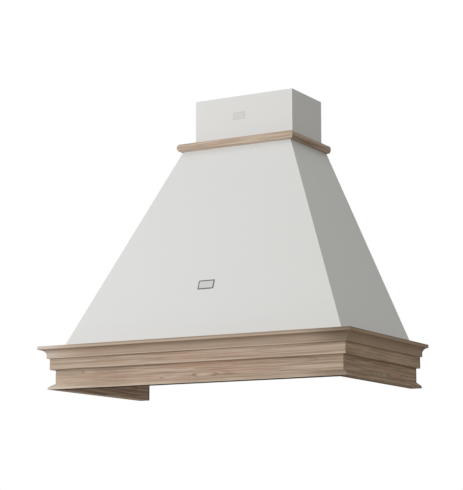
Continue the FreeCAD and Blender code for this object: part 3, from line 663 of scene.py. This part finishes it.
PAINT = (0.700, 0.702, 0.700, 1)
PAINT_CLOUD = (0.500, 0.500, 0.470, 1)
PAINT_HIGHLIGHT = (0.800, 0.790, 0.760, 1)
PAINT_SHINE = 0.35
PAINT_REACH = 0.0012
RAW_BOARD = (0.430, 0.310, 0.200, 1)
RAW_DEEP = tuple(c * 0.8 for c in RAW_BOARD[:3]) + (1,)
CLOUD_CELLS = (3.0, 3.0, 3.0)
PEEL_CELLS = (520.0, 520.0, 520.0)
FLECK_CELLS = (900.0, 900.0, 900.0)
HIGHLIGHT_SHARE = 0.6
RAW_ROUGHER = 0.3
PAINT_ROUGH = (0.50, 0.58)
PAINT_RELIEF = (0.12, 0.0002)
# The middle of a noise's values, narrow and wide, and how far in the painted highlights on an
# arris and along the foot reach.
NARROW_BAND = (0.35, 0.65)
WIDE_BAND = (0.3, 0.7)
ARRIS_HIGHLIGHT_BAND = (0.0010, 0.0030)
FOOT_HIGHLIGHT_BAND = (0.0015, 0.0045)
# Half the canopy's width at its top, and how far its front stands from the wall there.
CANOPY_TOP_HALF = 0.18125
CANOPY_TOP_DEPTH = 0.234

# Spray: the paint's fine orange peel as a height, and a faint cloud over its colour.
spray, given, result = new_group(
    "spray",
    {"Place": ("NodeSocketVector", (0, 0, 0)), "Paint": ("NodeSocketColor", PAINT),
     "Cloud": ("NodeSocketFloat", 0.03)},
    {"Colour": "NodeSocketColor", "Roughness": "NodeSocketFloat", "Height": "NodeSocketFloat"})
cloud = stretched_noise(spray, given["Place"], CLOUD_CELLS, (7.0, 7.0, 7.0))
cloud = ramp(spray, cloud, *NARROW_BAND)
spray.links.new(stain(spray, given["Paint"], cloud, given["Cloud"], PAINT_CLOUD),
                result["Colour"])
peel = stretched_noise(spray, given["Place"], PEEL_CELLS, (0.0, 0.0, 0.0))
spray.links.new(peel, result["Height"])
spray.links.new(ramp(spray, peel, *WIDE_BAND, *PAINT_ROUGH), result["Roughness"])


def painted(name, node, outward, face_point, arris=None, foot_z=None):
    """Paint on the outer face only. Outward is that face's normal, and the depth behind it is the
    distance from a point on it. An arris (x at its foot, lean, z of its foot), which is at x less
    the lean times the rise, and a line along a foot carry a painted highlight."""
    material, tree, shader, place = new_material(name, shine=PAINT_SHINE)
    level = sum(a * b for a, b in zip(outward, face_point))
    reach = add_node(tree, "ShaderNodeVectorMath", {0: place, 1: outward},
                     operation="DOT_PRODUCT").outputs["Value"]
    raw = ramp(tree, math_on(tree, "SUBTRACT", level, reach), PAINT_REACH, PAINT_REACH * 1.5)
    coat = add_node(tree, "ShaderNodeGroup", {"Place": place}, node_tree=spray).outputs
    tone = coat["Colour"]
    parts = add_node(tree, "ShaderNodeSeparateXYZ", {0: place}).outputs
    # A painted highlight along the arris.
    if arris:
        arris_x, lean, arris_z = arris
        rise = math_on(tree, "SUBTRACT", parts[2], arris_z)
        line = math_on(tree, "MULTIPLY_ADD", rise, -lean, arris_x)
        inside = math_on(tree, "SUBTRACT", line, math_on(tree, "ABSOLUTE", parts[0]))
        tone = blend_colour(tree, ramp(tree, inside, *ARRIS_HIGHLIGHT_BAND, HIGHLIGHT_SHARE, 0.0), tone,
                            PAINT_HIGHLIGHT)
    # A painted highlight along the foot.
    if foot_z is not None:
        rise = math_on(tree, "SUBTRACT", parts[2], foot_z)
        tone = blend_colour(tree, ramp(tree, rise, *FOOT_HIGHLIGHT_BAND, HIGHLIGHT_SHARE, 0.0), tone, PAINT_HIGHLIGHT)
    fleck = stretched_noise(tree, place, FLECK_CELLS, (3.0, 3.0, 3.0))
    raw_tone = blend_colour(tree, ramp(tree, fleck, *NARROW_BAND), RAW_BOARD, RAW_DEEP)
    roughness = math_on(tree, "MULTIPLY_ADD", raw, RAW_ROUGHER, coat["Roughness"])
    lay_finish(tree, shader, blend_colour(tree, raw, tone, raw_tone), roughness,
               coat["Height"], PAINT_RELIEF)
    dress([node], material)


def leaning_normal(across, lean):
    """The outward normal of a face that leans in by so much for each metre of rise: the level
    direction out and the lean, both over the root of one plus the lean squared."""
    length = math.hypot(1, lean)
    return tuple(part / length for part in (*across, lean))


canopy_low, canopy_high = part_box("canopy_front")
canopy_foot_half = canopy_high[0]
canopy_foot_z = canopy_low[2]
canopy_rise = canopy_high[2] - canopy_foot_z
front_lean = (WALL_Y - CANOPY_TOP_DEPTH - canopy_low[1]) / canopy_rise
side_lean = (canopy_foot_half - CANOPY_TOP_HALF) / canopy_rise

painted("paint_canopy_front", "canopy_front", leaning_normal((0, -1), front_lean),
        (0.0, canopy_low[1], canopy_foot_z), (canopy_foot_half, side_lean, canopy_foot_z),
        canopy_foot_z)
painted("paint_canopy_right", "canopy_right", leaning_normal((1, 0), side_lean),
        (canopy_foot_half, 0, canopy_foot_z), foot_z=canopy_foot_z)
painted("paint_canopy_left", "canopy_left", leaning_normal((-1, 0), side_lean),
        (-canopy_foot_half, 0, canopy_foot_z), foot_z=canopy_foot_z)

# ---- softwood battens, rails and blocks ----------------------------------------------------
# Planed, unfinished pine behind the boards and against the wall, seen from below and behind.
# The pieces are glued in, and the foot battens are screwed as well. The grain runs along each.

PINE_LIGHT = (0.640, 0.480, 0.300, 1)
PINE_DARK = (0.420, 0.260, 0.130, 1)
PINE_SHINE = 0.3
PINE_RELIEF = (0.3, 0.0004)


def pine(name, nodes, seed, order):
    """Pine whose grain runs along the object's axis that comes first in the order."""
    material, tree, shader, place = new_material(name, shine=PINE_SHINE)
    parts = add_node(tree, "ShaderNodeSeparateXYZ", {0: place}).outputs
    board = add_node(tree, "ShaderNodeCombineXYZ",
                     {slot: parts[axis] for slot, axis in enumerate(order)}).outputs[0]
    wood = add_node(tree, "ShaderNodeGroup",
                    {"Place": board, "Seed": seed, "Ring gap": 0.0055, "Pith depth": 0.06,
                     "Pith across": 0.02, "Run-out": 0.02, "Light": PINE_LIGHT,
                     "Dark": PINE_DARK, "Blush": PINE_DARK, "Blush amount": 0.1},
                    node_tree=figure).outputs
    lay_finish(tree, shader, wood["Colour"], wood["Roughness"], wood["Height"], PINE_RELIEF)
    dress(nodes, material)


pine("pine_rails", ["hanging_rail", "top_rail", "lower_rail", "foot_batten_front",
                    "chimney_cleat"], 71.0, (0, 2, 1))
pine("pine_foot_battens", ["foot_batten_left", "foot_batten_right"], 74.0, (1, 2, 0))
pine("pine_uprights", ["corner_batten_left", "corner_batten_right", "wall_batten_left",
                       "wall_batten_right", "corner_block_left", "corner_block_right",
                       "chimney_block_front_left", "chimney_block_front_right",
                       "chimney_block_rear_left", "chimney_block_rear_right"], 77.0, (2, 0, 1))

# ---- foot screws ---------------------------------------------------------------------------
# Zinc-plated countersunk wood screws, up through the base frame, with their heads in sight
# from below. The plating is bright, slightly blue and unevenly dull.

ZINC = (0.62, 0.63, 0.65, 1)
ZINC_DULL = (0.45, 0.45, 0.44, 1)
HAZE_CELLS = (600.0, 600.0, 600.0)
ZINC_ROUGH = (0.28, 0.5)

material, tree, shader, place = new_material("zinc_plating", 0.35)
shader.inputs["Metallic"].default_value = 1.0
haze = stretched_noise(tree, place, HAZE_CELLS, (1.0, 1.0, 1.0), 3.0)
tree.links.new(blend_colour(tree, ramp(tree, haze, *NARROW_BAND), ZINC, ZINC_DULL),
               shader.inputs["Base Color"])
tree.links.new(ramp(tree, haze, *WIDE_BAND, *ZINC_ROUGH), shader.inputs["Roughness"])
dress(["foot_screws"], material)

# ---- nosing and top board ------------------------------------------------------------------
# An oak board closes the canopy at its top and carries the chimney. Round-nosed oak strips,
# mitred at the corners and glued to its edges, oversail the canopy a little all round.

OAK_NOSING = (0.665, 0.551, 0.452, 1)

oak("oak_nosing_front", ["nosing_front"], 52.5, ALONG_X, face=0.0095, gap=0.0100, depth=0.07,
    across=0.66, run_out=0.01, blush=0.4, light=OAK_NOSING, dark=OAK_MILD)
oak("oak_nosing_sides", ["nosing_left", "nosing_right"], 56.1, ALONG_Y, face=0.195, gap=0.0075,
    depth=0.05, across=0.70, run_out=0.01, blush=0.3, light=OAK_NOSING, dark=OAK_DARK)
oak("oak_top_board", ["top_board"], 60.7, ALONG_X, face=0.0)

# ---- chimney -------------------------------------------------------------------------------
# Three upright boards of the canopy's fibreboard, mitred at the front, glued to their blocks
# on the top board, and sprayed with the same paint.

chimney_low, chimney_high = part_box("chimney_front")
# The front's arrises carry the same painted highlight as the canopy's.
painted("paint_chimney_front", "chimney_front", (0, -1, 0), tuple(chimney_low),
        (chimney_high[0], 0.0, 0.0))
painted("paint_chimney_right", "chimney_right", (1, 0, 0), tuple(chimney_high))
painted("paint_chimney_left", "chimney_left", (-1, 0, 0), tuple(chimney_low))

# ---- small plate on the canopy's front -----------------------------------------------------
# A bare plate of brushed, light grey metal with a dark raised rim, two of whose corners are
# rounded. It is stuck flat on the leaning board, over the middle of the cornice.

PLATE_CENTRE = (-0.0042, 0.284)
PLATE_HALF = (0.0256, 0.0140)
PLATE_ROUND = 0.0035
PLATE_SHARP = 0.0006
PLATE_HEIGHT = 0.0010
PLATE_FIELD = 0.0006
PLATE_RIM = 0.0031
PLATE_EASE = 0.0003
PLATE_GREY = (0.640, 0.640, 0.632, 1)
PLATE_DULL = tuple(c * 0.85 for c in PLATE_GREY[:3]) + (1,)
RIM_GREY = (0.080, 0.080, 0.078, 1)
BRUSH_CELLS = (60.0, 3000.0, 3000.0)
CORNER_STEPS = 8
LEAST_RADIUS = 0.00005
RIM_BLUR = 0.0001
RIM_BAND = (PLATE_FIELD + 0.00005, PLATE_FIELD + 0.0002)


def plate_outline(half, radii, inset):
    """A closed rectangle with an arc in each corner, set in from its edge. Every corner's arc is
    its centre plus its radius times (cos, sin) of the quarter turn there."""
    turns = np.linspace(0, math.pi / 2, CORNER_STEPS)
    outline = []
    for corner, radius in enumerate(radii):
        start = corner * math.pi / 2
        side_x = 1 if corner in (0, 3) else -1
        side_y = 1 if corner in (0, 1) else -1
        tight = max(radius - inset, LEAST_RADIUS)
        centre = np.array([side_x * (half[0] - inset - tight), side_y * (half[1] - inset - tight)])
        arc = np.stack([np.cos(start + turns), np.sin(start + turns)], -1)
        outline.append(centre + tight * arc)
    return np.concatenate(outline)


def lay_plate(name, half, radii, steps, origin, across, up, out):
    """A thin plate from its outline, in steps of (inset, height), closed in its middle. A point
    is the origin plus its local parts times the directions across, up and out."""
    rings = []
    for inset, height in steps:
        flat = plate_outline(half, radii, inset)
        rings.append(np.concatenate([flat, np.full((len(flat), 1), height)], 1))
    rings.append(np.tile([[0.0, 0.0, steps[-1][1]]], (len(rings[0]), 1)))
    local = np.array(rings)
    placed = (np.array(origin) + local[..., :1] * np.array(across) + local[..., 1:2] * np.array(up)
              + local[..., 2:] * np.array(out))
    piece = lay_surface(name, placed, closed=True)
    shape = bmesh.new()
    shape.from_mesh(piece.data)
    bmesh.ops.remove_doubles(shape, verts=shape.verts, dist=1e-6)
    bmesh.ops.recalc_face_normals(shape, faces=shape.faces)
    shape.to_mesh(piece.data)
    shape.free()
    return piece


def part_along(tree, vector, direction):
    """How far a vector goes in a direction of length one, which is their dot product."""
    return add_node(tree, "ShaderNodeVectorMath", {0: vector, 1: direction},
                    operation="DOT_PRODUCT").outputs["Value"]


canopy_out = leaning_normal((0, -1), front_lean)
canopy_up = (0.0, canopy_out[2], -canopy_out[1])
plate_y = canopy_low[1] + front_lean * (PLATE_CENTRE[1] - canopy_foot_z)
plate_origin = (PLATE_CENTRE[0], plate_y, PLATE_CENTRE[1])
plate = lay_plate("front_plate", PLATE_HALF, (PLATE_SHARP, PLATE_ROUND, PLATE_SHARP, PLATE_ROUND),
                  [(0.0, 0.0), (0.0, PLATE_HEIGHT * 0.8), (PLATE_EASE, PLATE_HEIGHT),
                   (PLATE_RIM * 0.8, PLATE_HEIGHT), (PLATE_RIM, PLATE_FIELD)],
                  plate_origin, (1, 0, 0), canopy_up, canopy_out)
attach(plate, "root")

# The rim is where the plate stands high, or within the rim's width of an edge.
material, tree, shader, place = new_material("plate_metal", 0.45)
moved = add_node(tree, "ShaderNodeVectorMath", {0: place, 1: plate_origin},
                 operation="SUBTRACT").outputs[0]
past_rim = [math_on(tree, "SUBTRACT", math_on(tree, "ABSOLUTE", part_along(tree, moved, way)),
                    half - PLATE_RIM)
            for way, half in zip(((1, 0, 0), canopy_up), PLATE_HALF)]
in_rim = math_on(tree, "MAXIMUM",
                 ramp(tree, math_on(tree, "MAXIMUM", *past_rim), -RIM_BLUR, RIM_BLUR),
                 ramp(tree, part_along(tree, moved, canopy_out), *RIM_BAND))
brushed = stretched_noise(tree, place, BRUSH_CELLS, (0.0, 0.0, 0.0), 1.0)
tree.links.new(blend_colour(tree, in_rim, blend_colour(tree, brushed, PLATE_GREY, PLATE_DULL),
                            RIM_GREY), shader.inputs["Base Color"])
plate.data.materials.append(material)

# ---- faint label on the chimney's front ----------------------------------------------------
# A thin, satin label of light grey metal foil, left bare, with square corners. It is stuck on
# the paint.

LABEL_CENTRE = (-0.0150, 0.8205)
LABEL_HALF = (0.0205, 0.0113)
LABEL_HEIGHT = 0.0006
LABEL_EASE = 0.0002
LABEL_GREY = (0.590, 0.590, 0.580, 1)
LABEL_DULL = tuple(c * 0.9 for c in LABEL_GREY[:3]) + (1,)
SHEEN_CELLS = (25.0, 900.0, 900.0)

label = lay_plate("chimney_label", LABEL_HALF, (PLATE_SHARP,) * 4,
                  [(0.0, 0.0), (0.0, LABEL_HEIGHT * 0.7), (LABEL_EASE, LABEL_HEIGHT)],
                  (LABEL_CENTRE[0], chimney_low[1], LABEL_CENTRE[1]), (1, 0, 0), (0, 0, 1),
                  (0, -1, 0))
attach(label, "root")
material, tree, shader, place = new_material("label_foil", 0.4)
sheen = stretched_noise(tree, place, SHEEN_CELLS, (5.0, 5.0, 5.0), 1.0)
tree.links.new(blend_colour(tree, sheen, LABEL_GREY, LABEL_DULL), shader.inputs["Base Color"])
label.data.materials.append(material)
